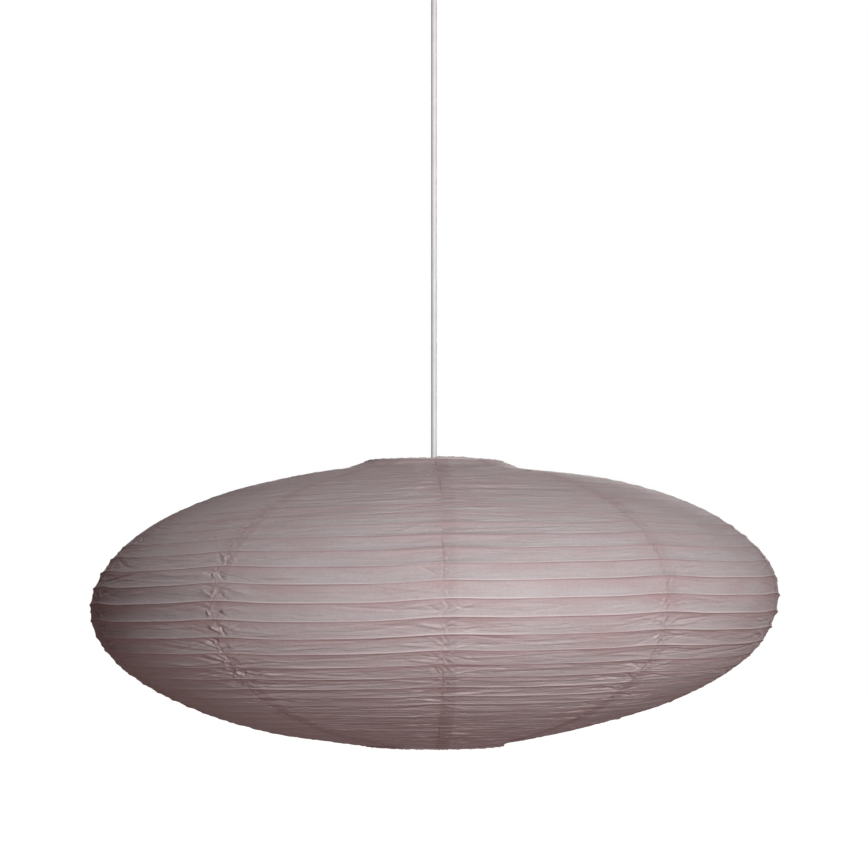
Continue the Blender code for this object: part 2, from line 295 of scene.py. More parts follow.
def add_creases(depth, fold_shading, rows, turns, radii):
    """Adds every crease that reaches into this grid to depth, and the painted highlight (+) of its lit side
    and the painted shade (-) of its shaded side to the second array.
    """
    for turn, panel, start, first_share, run, lift, height, width in CREASES:
        width = width * FOLD_WIDTH
        first, last = np.searchsorted(rows[:, 0], (panel, panel + 1.0))
        if last - first < 2:
            continue
        radius = float(radii[(first + last) // 2, 0])
        for whole in (-TAU, 0.0, TAU):
            centre = turn + whole
            ends = (centre + start / radius, centre + (start + run) / radius)
            if max(ends) < turns.min() - 0.02 or min(ends) > turns.max() + 0.02:
                continue
            part = slice(first, last)
            x = (turns[part] - centre) * radii[part] - start
            y = (rows[part] - panel - first_share) * PITCH
            drop = lift * PITCH
            length = math.hypot(run, drop)
            share = (x * run + y * drop) / length**2
            across = (x * drop - y * run) / length
            fade = smooth(share, -0.12, 0.25) * (1.0 - smooth(share, 0.6, 1.12))
            held = np.sin(np.pi * np.clip(rows[part] - panel, 0.0, 1.0)) ** 0.6
            upper = across / width * math.copysign(1.0, run * height)
            sharp = min(1.0, abs(height) / 0.0003)
            fold_shading[part] += sharp * fade * held * upper * np.exp(-upper * upper)
            depth[part] += FOLD_HEIGHT * height * fade * held * np.exp(-np.abs(across / width) ** 1.25)


# --- Mesh helpers ---

def new_object(name, data):
    obj = bpy.data.objects.new(name, data)
    bpy.context.scene.collection.objects.link(obj)
    return obj


def shade(obj, sharp=SHARP_ANGLE):
    """Smooth shading, with the edges that bend more than sharp kept hard."""
    obj.data.shade_smooth()
    obj.data.set_sharp_from_angle(angle=sharp)


def mesh_object(name, points, faces):
    mesh = bpy.data.meshes.new(name)
    mesh.from_pydata(np.reshape(points, (-1, 3)).tolist(), [], faces)
    mesh.shade_smooth()
    mesh.update()
    return new_object(name, mesh)


def around(radius, angle, z):
    return np.stack([radius * np.cos(angle), radius * np.sin(angle), z], axis=-1)


def grid_faces(rows, columns, closed=False, flip=False, ring=False):
    """Quads of a grid listed row by row; closed joins the last column to the first, and ring the last row."""
    across = np.arange(columns if closed else columns - 1)
    down = columns * np.arange(rows if ring else rows - 1)[:, None]
    a = down + across
    b = down + (across + 1) % columns
    quads = np.stack([a, b, b + columns, a + columns], axis=-1).reshape(-1, 4) % (rows * columns)
    return (quads[:, ::-1] if flip else quads).tolist()


def tube_mesh(name, points, radius, sides=8, closed=False):
    """A round tube along a list of points, its frame carried along without twist."""
    path = np.asarray(points, float)
    if closed:
        tangents = np.roll(path, -1, axis=0) - np.roll(path, 1, axis=0)
    else:
        tangents = np.gradient(path, axis=0)
    tangents /= np.linalg.norm(tangents, axis=1)[:, None]
    rings = []
    normal = np.cross(tangents[0], [0.0, 0.0, 1.0])
    if np.linalg.norm(normal) < 0.1:
        normal = np.cross(tangents[0], [1.0, 0.0, 0.0])
    turn = TAU * np.arange(sides) / sides
    for point, tangent in zip(path, tangents):
        normal = normal - tangent * np.dot(normal, tangent)
        normal /= np.linalg.norm(normal)
        other = np.cross(tangent, normal)
        rings.append(point + radius * (np.outer(np.cos(turn), normal) + np.outer(np.sin(turn), other)))
    faces = grid_faces(len(path), sides, closed=True, ring=closed)
    if not closed:
        faces.append(list(range(sides))[::-1])
        faces.append([len(path) * sides - sides + i for i in range(sides)])
    return mesh_object(name, rings, faces)


# --- Paper gores ---

def panel_sag(share):
    """How far the paper hangs in at a share of the way from one rib to the next, from 0 to 1."""
    return 1.0 - np.abs(2.0 * share - 1.0) ** 3.4


# The paper's way over an opening's ring, from its cut end to the gore's edge: radius and height.
TOP_COLLAR = [(0.0688, 0.1424), (0.0688, 0.1432), (0.0693, 0.1441), (0.0705, 0.1446), (0.0715, 0.1443),
              (0.0719, 0.1439), (0.0721, 0.1435)]
BOTTOM_COLLAR = [(0.07192, 0.1442), (0.07194, 0.1439), (0.07195, 0.1435), (0.07196, 0.1430),
                 (0.07197, 0.1421)]
TOP_LIFT = [0.0013, 0.0003, 0.0002, 0.0006, 0.0001, 0.0005, 0.0008, 0.0002, 0.0006, 0.0002]


def top_collar(angles, past, layer, number):
    """The top edge is folded in over the ring, evenly, and stands a little proud on some gores."""
    proud = TOP_LIFT[number] * (1.0 - smooth(past, 0.60, 1.05))
    proud = proud + 0.0002 * np.sin(angles * 37.0 + number) + 0.00012 * np.sin(angles * 91.0 + 2 * number)
    rows = []
    for radius, height in TOP_COLLAR:
        share = max(0.0, (height - 0.1430) / 0.0016)
        rows.append(around(radius + layer, angles, CENTRE_Z + height + share * proud))
    return rows


def bottom_collar(angles, layer, number):
    """The bottom edge is torn off just under the ring and frays in fine fibres."""
    source = np.random.default_rng(200 + number)
    fray = source.exponential(0.00035, len(angles)) + 0.0005 * (1.0 + np.sin(angles * 29.0 + number)) / 2
    rows = []
    for radius, height in BOTTOM_COLLAR:
        share = max(0.0, (height - 0.1434) / 0.0012)
        rows.append(around(radius + 0.25 * layer, angles, CENTRE_Z - height - share * fray))
    return rows[::-1]


def row_places():
    """The grid's rows, in turns of the rib wire: closer together by the ribs, where the paper bends."""
    even = np.arange(0, int(TURNS_TO_EDGE * ROWS_PER_TURN) + 1) / ROWS_PER_TURN
    close = even - 0.25 * np.sin(TAU * even) / TAU
    return np.append(close[close < TURNS_TO_EDGE - 0.02], TURNS_TO_EDGE)


def column_places():
    """Shares of the way across a gore: closer together by its two seams, where the paper crumples."""
    even = np.linspace(0.0, 1.0, GORE_COLUMNS + 1)
    return even - 0.68 * np.sin(TAU * even) / TAU


def gore_grid(number):
    """Row and angle of every point of a gore, with the margin that goes under the next gore."""
    rows = row_places()
    low = FRONT_SEAM + GORE_ANGLE * number
    if number >= GORES // 2:
        low -= TAU
    radius = side_point(side_length(rows, np.full(rows.shape, turn_from_back(low))))[0]
    main = (GORE_ANGLE * column_places())[None, :].repeat(len(rows), axis=0)
    margin = np.linspace(0.0, OVERLAP, MARGIN_COLUMNS + 1)[1:][None, :] / radius[:, None]
    return rows[:, None], low + np.concatenate([main, GORE_ANGLE + margin], axis=1), low


def seam_swing(rows, seam):
    """How far a seam strays sideways from its plain line: pinned at the ribs, buckled between them."""
    equator = np.exp(-(((rows - 19.0) / 4.0) ** 2))
    share = rows - np.floor(rows)
    side = np.where(np.floor(rows) % 2 < 1, 1.0, -1.0)
    point = 1.0 - np.abs(2.0 * share - 1.0)
    buckle = side * point * (0.0005 + 0.0042 * equator)
    slow = 0.0008 * np.sin(rows * 0.8 + 1.7 * seam)
    return SEAM_SWING[seam % GORES] * buckle + slow


def prominence(rows, turns):
    """How plainly the ribs show: most at the equator, least on the two sides near the openings."""
    equator = np.exp(-(((rows - 20.0) / np.where(rows < 20.0, 4.0, 5.5)) ** 2))
    return equator + (1.0 - equator) * (0.20 + 0.52 * np.cos(turns) ** 2)


def paper_gore(number):
    """One gore, and its hems over the two openings' rings, which stay whole when the shade is folded."""
    rows, angles, low = gore_grid(number)
    rows = rows + np.zeros_like(angles)
    turns = turn_from_back(angles)
    radius, height, out, up = side_point(side_length(rows, turns))
    share = rows - np.floor(rows)
    sag = SAG_AT_EDGE + (SAG_AT_EQUATOR - SAG_AT_EDGE) * (radius / SHADE_RADIUS) ** 5
    sag = sag * (1.0 - 0.15 * np.cos(2.0 * turns)) * np.clip(1.0 + 0.5 * SAG_CHANGE.at(turns, rows), 0.1, 2.2)
    plain = prominence(rows, turns)
    middle_fold = 0.00035 * plain * FOLD_CHANGE.at(turns, rows) * np.sin(np.pi * share)
    creases = np.zeros_like(radius)
    fold_shading = np.zeros_like(radius)
    add_creases(creases, fold_shading, rows, turns, radius)
    calm = np.clip(0.15 + 1.15 * plain, 0.0, 1.0)
    depth = -sag * (0.35 + 0.65 * plain) * panel_sag(share) + BODY_SWELL * BODY_FORM.at(turns, rows)
    depth += middle_fold + calm * creases
    from_low = (angles - low) * radius
    past_high = (angles - low - GORE_ANGLE) * radius
    ends = smooth(rows, 0.0, 0.6) * (1.0 - smooth(rows, TURNS_TO_EDGE - 0.6, TURNS_TO_EDGE))
    layer = LAYER * (1.0 - smooth(from_low, OVERLAP - 0.0004, OVERLAP + 0.0012))
    layer = layer - 2.0 * LAYER * smooth(past_high, -0.0002, 0.0006)
    depth = depth * ends + layer
    swing = seam_swing(rows, number) * np.exp(-from_low / 0.010)
    swing += seam_swing(rows, number + 1) * np.exp(-np.abs(past_high) / 0.010)
    angles = angles + ends * swing / radius
    body = placed(radius, height, out, up, depth, angles)
    # seam: the paper is painted pinker near each seam, as painted shade.
    seam = np.exp(-np.minimum(np.abs(from_low), np.abs(past_high)) / 0.012)
    # double: the doubled strip under a glued edge is darker, partly its real thickness and partly painted
    # shade, which is made stronger in the lower half.
    double = 1.0 - smooth(from_low, OVERLAP - 0.0004, OVERLAP + 0.0008)
    double = double * (0.35 + 0.65 * smooth(rows, 21.0, 27.0))
    # edge: a painted highlight (+) on a gore's own low edge, and a painted shadow (-) on the gore beneath,
    # beside the next gore's edge.
    edge = SEAM_STRENGTH[number] ** 2 * np.clip(1.0 - from_low / EDGE_LINE, 0.0, 1.0)
    edge -= SEAM_STRENGTH[(number + 1) % GORES] ** 2 * np.clip(1.0 + past_high / EDGE_LINE, 0.0, 1.0)
    across = from_low + GORE_ANGLE * SHADE_RADIUS * number
    # The folds' painted highlight and painted shade, weaker where the ribs show less.
    fold_shading = calm * np.clip(fold_shading, -1.0, 1.0)
    fields = np.stack([rows, across, fold_shading, np.clip(edge, -1.1, 1.1), seam, plain, double])
    top = np.stack(top_collar(angles[0], (angles[0] - low) / GORE_ANGLE, layer[0], number) + [body[0]])
    bottom = np.stack(bottom_collar(angles[-1], layer[-1], number))
    return (paper_piece(f"skin_gore_{number + 1:02d}", body, fields),
            paper_piece(f"skin_upper_hem_{number + 1:02d}", top, fields[:, :1]),
            paper_piece(f"skin_lower_hem_{number + 1:02d}", bottom, fields[:, -1:]))


def paper_piece(name, points, fields):
    """A grid of paper that carries, for its material, its place on the sheet and where it is painted with
    highlights and shade at its folds, glued edges, ribs and seams, and darkened where doubled.
    """
    shape = points.shape[:2]
    obj = mesh_object(name, points, grid_faces(*shape, flip=True))
    hem = fields.shape[1] == 1
    rows, across, fold_shading, edge, seam, plain, double = np.broadcast_to(fields, (7, *shape))
    # Hems get no painted rib, fold or edge lines, and the seams' painted pink shade all over.
    if hem:
        fold_shading = edge = plain = np.zeros(shape)
        seam = np.ones(shape)
    tone = np.stack([seam, plain, double, np.ones(shape)], axis=-1)
    layer = obj.data.color_attributes.new("paper_tone", "FLOAT_COLOR", "POINT")
    layer.data.foreach_set("color", tone.astype(np.float32).ravel())
    for field, value in (("row", rows), ("across", across), ("fold", fold_shading), ("edge", edge)):
        places = obj.data.attributes.new("paper_" + field, "FLOAT", "POINT")
        places.data.foreach_set("value", value.astype(np.float32).ravel())
    return obj


def rib_points():
    """Centreline of the rib wire, turn after turn, inside the paper."""
    per_turn = 144
    index = np.arange(per_turn * (RIB_TURNS - 1) + 1)
    turn_number = 1 + np.minimum(index // per_turn, RIB_TURNS - 2)
    turn = TAU * (index / per_turn - (turn_number - 1))
    radius, height, out, up = side_point(side_length(turn_number.astype(float), turn))
    inset = RIB_RADIUS + 0.0004 - BODY_SWELL * BODY_FORM.at(turn, turn_number.astype(float))
    return placed(radius, height, out, up, -inset, BACK_SEAM + turn)


# --- Materials ---

class Nodes:
    """Short calls that add nodes to one material. A value is a number, a colour or another node's socket."""

    def __init__(self, name):
        self.material = bpy.data.materials.new(name)
        self.material.use_nodes = True
        self.tree = self.material.node_tree
        self.shader = self.tree.nodes["Principled BSDF"]

    def put(self, socket, value):
        if isinstance(value, bpy.types.NodeSocket):
            self.tree.links.new(value, socket)
        elif isinstance(value, tuple) and socket.type == "RGBA":
            socket.default_value = (*value, 1.0)
        else:
            socket.default_value = value

    def add(self, kind, inputs, **settings):
        """A new node with its settings, and with its inputs filled by name or number."""
        node = self.tree.nodes.new(kind)
        for key, value in settings.items():
            setattr(node, key, value)
        for key, value in inputs.items():
            self.put(node.inputs[key], value)
        return node

    def attribute(self, name):
        return self.add("ShaderNodeAttribute", {}, attribute_name=name)

    def noise(self, scale, detail=4.0, vector=None, rough=0.5):
        vector = vector or self.add("ShaderNodeTexCoord", {}).outputs["Object"]
        inputs = {"Scale": scale, "Detail": detail, "Roughness": rough, "Vector": vector}
        return self.add("ShaderNodeTexNoise", inputs).outputs["Fac"]

    def ramp(self, value, low, high, first, second):
        """Maps value from low..high to first..second."""
        inputs = {"Value": value, "From Min": low, "From Max": high, "To Min": first, "To Max": second}
        return self.add("ShaderNodeMapRange", inputs).outputs["Result"]

    def math(self, operation, first, second=0.5, clamp=False):
        node = self.add("ShaderNodeMath", {0: first, 1: second}, operation=operation, use_clamp=clamp)
        return node.outputs["Value"]

    def mix(self, share, first, second, kind="MIX"):
        node = self.add("ShaderNodeMix", {}, data_type="RGBA", blend_type=kind)
        for socket, value in zip([s for s in node.inputs if s.enabled], (share, first, second)):
            self.put(socket, value)
        return next(s for s in node.outputs if s.enabled)

    def bump(self, height, distance, strength, **under):
        inputs = {"Strength": strength, "Distance": distance, "Height": height, **under}
        return self.add("ShaderNodeBump", inputs).outputs["Normal"]

    def fill(self, **values):
        """Sets or links the shader's own inputs; Base_Color stands for Base Color."""
        for key, value in values.items():
            self.put(self.shader.inputs[key.replace("_", " ")], value)


PAPER_ROSE_GREY = (0.528, 0.475, 0.483)
PAPER_PINK = (0.480, 0.338, 0.342)
# The colour of painted shade under ribs, beside glued edges and on the folds' shaded sides, and of doubled
# paper, which is partly its real thickness.
PAPER_SHADE_AND_DOUBLED = (0.280, 0.185, 0.188)
# The colour of painted highlights on the ribs, the glued edges and the folds' lit sides.
PAPER_PAINTED_HIGHLIGHT = (0.740, 0.645, 0.648)
PAPER_THROUGH = (0.50, 0.31, 0.30)
SEEN_THROUGH = 0.14


def paper_material():
    """Rose rice paper with pulp grain, fibres and random pinker patches. Painted shade makes it pinker under
    each rib and near the seams, and darker where it is doubled, which is partly its real thickness; painted
    highlights and shadows line the ribs, the glued edges and the folds.
    """
    m = Nodes("rose_rice_paper")
    tone = m.add("ShaderNodeSeparateColor", {"Color": m.attribute("paper_tone").outputs["Color"]})
    row, across, fold, edge = (m.attribute("paper_" + field).outputs["Fac"]
                               for field in ("row", "across", "fold", "edge"))
    share = m.math("FRACT", row)
    seam = tone.outputs["Red"]
    body = tone.outputs["Green"]
    double = tone.outputs["Blue"]
    sheet = m.add("ShaderNodeCombineXYZ", {"X": across, "Y": m.math("MULTIPLY", row, PITCH)})

    def fibres(wide, high, detail, rough=0.5):
        """Noise that lies on the sheet, with its own scale across it and down it."""
        vector = m.add("ShaderNodeMapping", {"Vector": sheet.outputs["Vector"], "Scale": (wide, high, 1.0)})
        return m.noise(1.0, detail, vector.outputs["Vector"], rough)

    patches = m.ramp(fibres(16.0, 40.0, 4.0), 0.42, 0.68, 0.0, 0.34)
    # Painted shade: pinker just under each rib, where the panel turns from the light, and pinker near the
    # seams; the patches are the paper's own uneven tone.
    under_rib_shade = m.math("MULTIPLY", m.ramp(share, 0.04, 0.62, 0.58, 0.0), body)
    pink_patches_and_shade = m.math("ADD", m.math("ADD", patches, under_rib_shade), m.math("MULTIPLY", seam, 0.28), clamp=True)
    base = m.mix(pink_patches_and_shade, PAPER_ROSE_GREY, PAPER_PINK)
    pulp = m.ramp(m.noise(420.0, 6.0, rough=0.7), 0.25, 0.75, 0.88, 1.08)
    streaks = m.ramp(fibres(22.0, 190.0, 5.0, 0.65), 0.3, 0.7, 0.955, 1.04)
    base = m.mix(1.0, m.mix(1.0, base, pulp, "MULTIPLY"), streaks, "MULTIPLY")
    uneven = m.ramp(fibres(9.0, 30.0, 3.0), 0.36, 0.60, 0.35, 1.0)
    line = m.math("MULTIPLY", uneven, body)
    edge = m.math("MULTIPLY", edge, uneven)
    # Painted shadow in a thin line just under each rib, and a painted highlight just above the next rib,
    # where the wire's ridge would catch the light.
    for part, colour in ((m.math("MULTIPLY", m.ramp(share, 0.03, 0.11, 0.80, 0.0), line), PAPER_SHADE_AND_DOUBLED),
                         (m.math("MULTIPLY", m.ramp(share, 0.910, 0.965, 0.0, 0.90), line), PAPER_PAINTED_HIGHLIGHT),
                         # Painted shadow beside a glued edge, on the gore beneath, and a painted highlight on
                         # the edge itself.
                         (m.math("MULTIPLY", edge, -0.90, clamp=True), PAPER_SHADE_AND_DOUBLED),
                         (m.math("MULTIPLY", edge, 0.40, clamp=True), PAPER_PAINTED_HIGHLIGHT),
                         # Painted shade on the shaded side of each fold and a painted highlight on its lit
                         # side.
                         (m.math("MULTIPLY", fold, -0.42, clamp=True), PAPER_SHADE_AND_DOUBLED),
                         (m.math("MULTIPLY", fold, 0.50, clamp=True), PAPER_PAINTED_HIGHLIGHT),
                         # Doubled paper darker, partly its real thickness and partly painted shade.
                         (m.ramp(double, 0.0, 1.0, 0.0, 0.26), PAPER_SHADE_AND_DOUBLED)):
        base = m.mix(part, base, colour)
    grain = m.bump(m.noise(700.0, 5.0, rough=0.7), 0.00022, 0.8)
    level = m.math("ABSOLUTE", m.math("SUBTRACT", fibres(11.0, 95.0, 3.0, 0.55), 0.5))
    level = m.bump(m.ramp(level, 0.0, 0.10, 0.0, 1.0), 0.0004, 0.8, Normal=grain)
    crinkle = m.bump(fibres(80.0, 170.0, 5.0, 0.62), 0.0008, 0.6, Normal=level)
    gloss = m.ramp(m.noise(300.0, 3.0), 0.3, 0.7, 0.48, 0.64)
    m.fill(Base_Color=base, Roughness=gloss, Specular_IOR_Level=0.5, Normal=crinkle)
    through = m.add("ShaderNodeBsdfTranslucent", {"Color": PAPER_THROUGH, "Normal": crinkle})
    shaders = {1: m.shader.outputs["BSDF"], 2: through.outputs["BSDF"]}
    both = m.add("ShaderNodeMixShader", {"Fac": SEEN_THROUGH, **shaders})
    m.put(m.tree.nodes["Material Output"].inputs["Surface"], both.outputs["Shader"])
    return m.material


def plain_material(name, colour, rough, dull, metal):
    """Plastic with a moulding grain and a trace of dust, or plated metal with darker spots."""
    m = Nodes(name)
    if metal:
        marks = m.ramp(m.noise(120.0, 6.0, rough=0.65), 0.45, 0.75, 0.0, 0.8)
        gloss = m.ramp(m.noise(260.0, 4.0), 0.3, 0.7, rough - 0.08, rough + 0.14)
        grain = m.bump(m.noise(900.0, 3.0), 0.00004, 0.5)
    else:
        marks = m.ramp(m.noise(35.0, 5.0), 0.35, 0.75, 0.0, 1.0)
        gloss = m.ramp(m.noise(90.0, 4.0), 0.3, 0.7, rough - 0.05, rough + 0.09)
        grain = m.bump(m.noise(1400.0, 3.0), 0.00003, 0.5)
    base = m.mix(marks, colour, tuple(c * dull for c in colour))
    m.fill(Base_Color=base, Metallic=float(metal), Roughness=gloss, Normal=grain)
    return m.material


# By slot: the material's name, its colour, its roughness and how much its marks darken it.
FINISHES = {
    "white_plastic": ("white_plastic_moulded", (0.80, 0.80, 0.775), 0.30, 0.94),
    "cord_pvc": ("white_cord_sheath", (0.78, 0.78, 0.775), 0.40, 0.90),
    "grey_rubber": ("grey_soft_rubber", (0.50, 0.50, 0.49), 0.62, 0.88),
    "holder_insert": ("white_glazed_insert", (0.74, 0.72, 0.67), 0.22, 0.92),
    "opal_dome": ("opal_diffuser", (0.86, 0.86, 0.84), 0.34, 0.98),
    "core_brown": ("core_brown_sheath", (0.21, 0.10, 0.05), 0.38, 0.88),
    "core_blue": ("core_blue_sheath", (0.08, 0.17, 0.45), 0.38, 0.88),
    "zinc_steel": ("zinc_plated_wire", (0.62, 0.62, 0.60), 0.34, 0.72),
    "nickel_cap": ("nickel_plated_cap", (0.70, 0.69, 0.66), 0.24, 0.80),
    "brass": ("plain_brass", (0.72, 0.54, 0.27), 0.30, 0.66),
    "rib_steel": ("rib_wire_steel", (0.30, 0.26, 0.25), 0.45, 0.60),
}
METALS = ("zinc_steel", "nickel_cap", "brass", "rib_steel")


@functools.cache
def finish(slot):
    if slot == "rose_paper":
        return paper_material()
    return plain_material(*FINISHES[slot], metal=slot in METALS)


def settle(obj, body, slot, *nodes):
    """Puts a piece on its body, with its slot's finish, in place of its frame nodes."""
    obj.data.materials.clear()
    obj.data.materials.append(finish(slot))
    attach(obj, body)
    if nodes:
        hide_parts(*nodes)


# --- The shade ---

def fold_up(obj):
    """Gives a piece its own copy of its mesh."""
    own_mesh(obj)


def make_shade():
    for number in range(GORES):
        gore, upper, lower = paper_gore(number)
        settle(gore, "pendant", "rose_paper", f"paper_gore_{number + 1:02d}")
        settle(upper, "pendant", "rose_paper")
        settle(lower, "bottom_ring", "rose_paper")
        fold_up(gore)
    ribs = tube_mesh("spiral_rib_wire", rib_points(), RIB_RADIUS, 5)
    settle(ribs, "pendant", "rib_steel", "rib_wire")
    fold_up(ribs)


# --- Cords and wires ---

def make_cords():
    """The cord down to the holder, and its end inside the cup, which starts bent off the axis."""
    for name, node, body, lay, steps, bent in (
            ("hanging_cord", "pendant_cord", "cord", "taut", 60, 0.0),
            ("cord_inside_cup", "cup_cord", "ceiling_fitting", "hanging", 40, 1.0)):
        low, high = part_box(node)
        reach = bent * (high.y - CORD_DIAMETER / 2)
        points = []
        for i in range(steps + 1):
            side = reach * (1.0 - smooth(i / steps, 0.05, 0.72))
            points.append((0.0, float(side), high.z + (low.z - high.z) * i / steps))
        curve = bpy.data.curves.new(name, "CURVE")
        curve.dimensions = "3D"
        curve.bevel_depth = CORD_DIAMETER / 2
        curve.bevel_resolution = 8
        curve.use_fill_caps = True
        spline = curve.splines.new("POLY")
        spline.points.add(steps)
        for target, point in zip(spline.points, points):
            target.co = (*point, 1.0)
        spline.use_smooth = True
        cord = new_object(name, curve)
        settle(cord, body, "cord_pvc", node)


def wire(name, points, body, node, closed=False):
    settle(tube_mesh(name, points, RING_WIRE, 14, closed), body, "zinc_steel", node)


def reaches(low, high):
    """How far from the axis a box beside it starts and ends."""
    return min(abs(low.x), abs(high.x)), max(abs(low.x), abs(high.x))


def make_wires():
    turn = TAU * np.arange(240) / 240
    for name, body, node in (("top_opening_ring", "pendant", "top_ring"),
                             ("bottom_opening_ring", "bottom_ring", "bottom_ring"),
                             ("expander_centre_ring", "pendant", "expander_ring")):
        low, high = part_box(node)
        radius = high.x - RING_WIRE
        middle = (low.z + high.z) / 2
        wire(name, around(radius, turn, middle + 0.0 * turn), body, node, closed=True)
    for side, sign in (("left", -1.0), ("right", 1.0)):
        low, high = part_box("expander_arm_" + side)
        middle = (low.z + high.z) / 2
        near, far = reaches(low, high)
        inner = near - 0.0009
        outer = far + 0.0009
        points = [(sign * (inner + (outer - inner) * i / 24), 0.0, middle) for i in range(25)]
        wire("expander_arm_wire_" + side, points, "pendant", "expander_arm_" + side)
        for place, at in (("inner", inner - 0.0003), ("outer", outer + 0.0003)):
            weld = [(0.0, 1.4), (1.1, 1.2), (1.8, 0.0), (1.1, -1.2), (0.0, -1.4)]
            weld = lathe(f"expander_weld_{place}_{side}", weld, 20, (sign * at / MM, 0.0, middle / MM))
            settle(weld, "pendant", "zinc_steel")
        low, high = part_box("expander_leg_" + side)
        near, tip = reaches(low, high)
        leg = near + RING_WIRE
        foot = high.z - RING_WIRE
        base = low.z + RING_WIRE
        bend = 0.0030
        half = [(tip, foot), (leg + bend, foot)]
        half += [(leg + bend * (1.0 - math.sin(a)), foot - bend * (1.0 - math.cos(a)))
                 for a in (math.pi / 2 * i / 8 for i in range(1, 9))]
        lower = [(x, base + foot - z) for x, z in reversed(half)]
        straight = [(leg, half[-1][1] + (lower[0][1] - half[-1][1]) * i / 40) for i in range(1, 40)]
        points = [(sign * x, 0.0, z) for x, z in half + straight + lower]
        wire("expander_leg_wire_" + side, points, "pendant", "expander_leg_" + side)


def make_cores():
    """The cord's two cores, which part inside the holder's cap."""
    for side, slot, sign in (("live", "core_brown", -1.0), ("neutral", "core_blue", 1.0)):
        low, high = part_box("holder_core_" + side)
        near, far = reaches(low, high)
        near += CORE_RADIUS
        far -= CORE_RADIUS
        points = [(sign * (near + (far - near) * (1.0 - math.cos(math.pi * i / 30)) / 2), 0.0,
                   high.z + (low.z - high.z) * i / 30) for i in range(31)]
        core = tube_mesh("insulated_core_" + side, points, CORE_RADIUS, 14)
        settle(core, "pendant", slot, "holder_core_" + side)


# --- Turned and cut pieces: their outlines, sizes and places are in millimetres ---

MM = 0.001
HOLDER = (0.0, 0.0, CLAMP_Z / MM)


def box(node):
    """The low corner, the high corner and the middle of a frame node's box."""
    low, high = (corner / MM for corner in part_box(node))
    return low, high, (low + high) / 2


def rounded(outline, radius):
    """The same outline with its corners rounded off; the ends of one that starts on the axis stay."""
    points = [Vector(p) for p in outline]
    count = len(points)
    made = []
    for i, corner in enumerate(points):
        if outline[0][0] == 0.0 and i in (0, count - 1):
            made.append(tuple(corner))
            continue
        before = points[i - 1] - corner
        after = points[(i + 1) % count] - corner
        reach = min(radius, before.length * 0.45, after.length * 0.45)
        start = corner + before.normalized() * reach
        end = corner + after.normalized() * reach
        made += [tuple(start * (1 - t) ** 2 + corner * 2 * t * (1 - t) + end * t * t)
                 for t in (0.0, 0.25, 0.5, 0.75, 1.0)]
    return made


def smooth_line(points, steps=5):
    """A smooth curve through (radius, height) points."""
    made = []
    for i in range(len(points) - 1):
        a, b, c, d = (np.array(points[min(max(i + k, 0), len(points) - 1)]) for k in (-1, 0, 1, 2))
        for t in np.arange(steps) / steps:
            point = 2 * b + (c - a) * t + (2 * a - 5 * b + 4 * c - d) * t**2 + (3 * b - a - 3 * c + d) * t**3
            made.append(tuple(point / 2))
    return made + [points[-1]]


def between(outline, spacing):
    """The same outline with extra points, so that no step is longer than spacing."""
    made = []
    for start, end in zip(outline, outline[1:] + outline[:1]):
        steps = max(1, math.ceil(math.dist(start, end) / spacing))
        made += [(start[0] + (end[0] - start[0]) * i / steps, start[1] + (end[1] - start[1]) * i / steps)
                 for i in range(steps)]
    return made


def lathe(name, outline, steps, at=(0.0, 0.0, 0.0), shape=None, sharp=SHARP_ANGLE):
    """A turned piece from (radius, height) points; shape(radius, height, angle) may move each radius."""
    radii, heights = (np.array(outline)[:, n, None] + np.zeros(steps) for n in (0, 1))
    angles = TAU * np.arange(steps) / steps + np.zeros_like(radii)
    if shape is not None:
        radii = shape(radii, heights, angles)
    points = around(radii, angles, heights) + np.array(at)
    faces = grid_faces(len(outline), steps, closed=True, ring=outline[0][0] > 0.0)
    obj = mesh_object(name, MM * points, faces)
    solid = bmesh.new()
    solid.from_mesh(obj.data)
    bmesh.ops.remove_doubles(solid, verts=solid.verts, dist=1e-7)
    bmesh.ops.recalc_face_normals(solid, faces=solid.faces)
    solid.to_mesh(obj.data)
    solid.free()
    shade(obj, sharp)
    return obj


def turned(name, node, outline, steps, body, slot, **settings):
    settle(lathe(name, outline, steps, **settings), body, slot, node)


def thread(low, high, radius, depth, pitch):
    """A screw thread cut into the wall that stands at radius, between two heights."""
    def shape(radii, heights, angles):
        groove = (0.5 - 0.5 * np.cos(TAU * heights / pitch - angles)) ** 1.5
        inside = smooth(heights, low, low + pitch / 2) * (1.0 - smooth(heights, high - pitch / 2, high))
        return radii - depth * groove * inside * (np.abs(radii - radius) < 0.1)
    return shape


def flutes(count, low, high, depth, power=2, foot=-100.0):
    """Finger grooves that deepen from one radius to another and fade out at a foot."""
    def shape(radii, heights, angles):
        groove = (0.5 - 0.5 * np.cos(count * angles)) ** power
        return radii - depth * groove * smooth(radii, low, high) * smooth(heights, foot, foot + 1.7)
    return shape


def solid_object(name, solid):
    mesh = bpy.data.meshes.new(name)
    solid.to_mesh(mesh)
    solid.free()
    return new_object(name, mesh)


